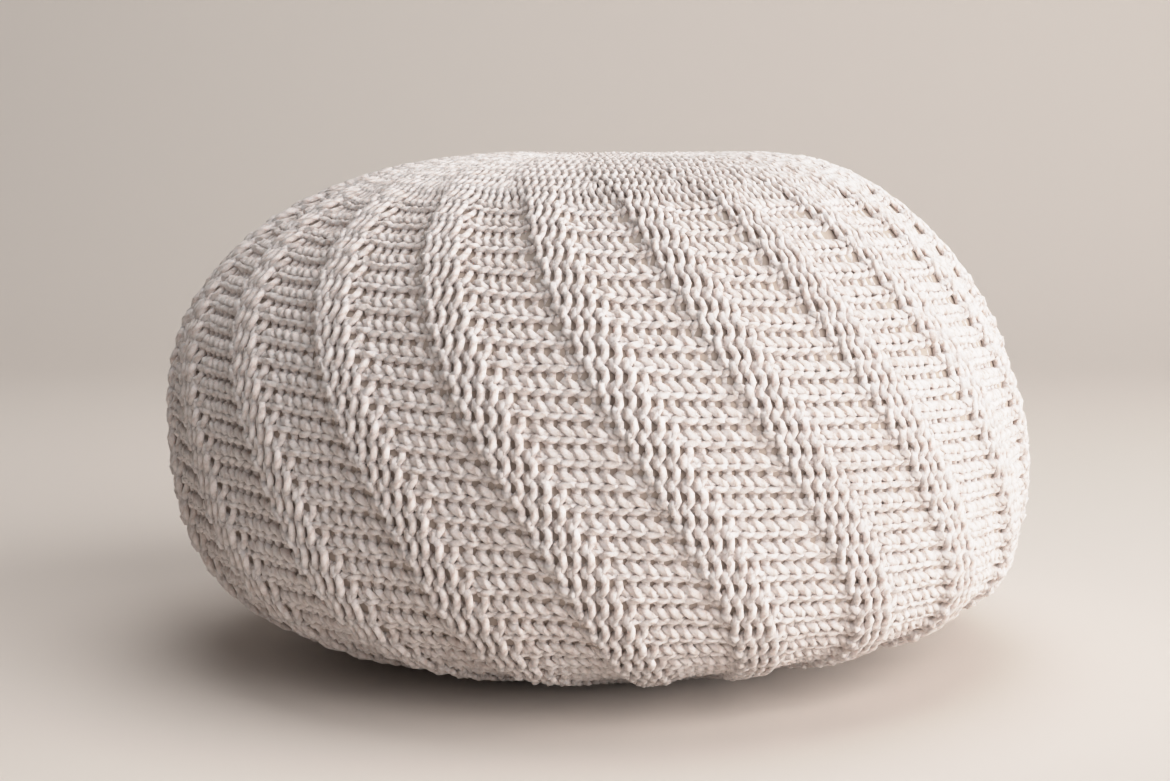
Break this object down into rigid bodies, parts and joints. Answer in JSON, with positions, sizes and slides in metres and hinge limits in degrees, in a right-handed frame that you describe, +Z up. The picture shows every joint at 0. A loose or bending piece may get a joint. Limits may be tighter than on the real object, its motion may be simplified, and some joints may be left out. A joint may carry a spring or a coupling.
{
  "type": "knitted pouf",
  "caption": "Round floor pouf: a filled cushion in an ivory knitted cover with raised ribs slanting up its side, drawn in at the crown and underside.",
  "frame": {"origin": "on the floor under the middle of the pouf: the centre of its bounding box, at its lowest level", "axes": "+Z up out of the crown; the front that the picture shows faces -Y; +X is the picture's right"},
  "size_m": [0.5048, 0.5042, 0.2943],
  "materials": {
    "ivory_yarn": "soft two-ply ivory cotton yarn, knitted, matt with a faint halo of loose fibres"
  },
  "bodies": {
    "root": {"knitted_pouf": "ivory_yarn"}
  },
  "joints": []
}
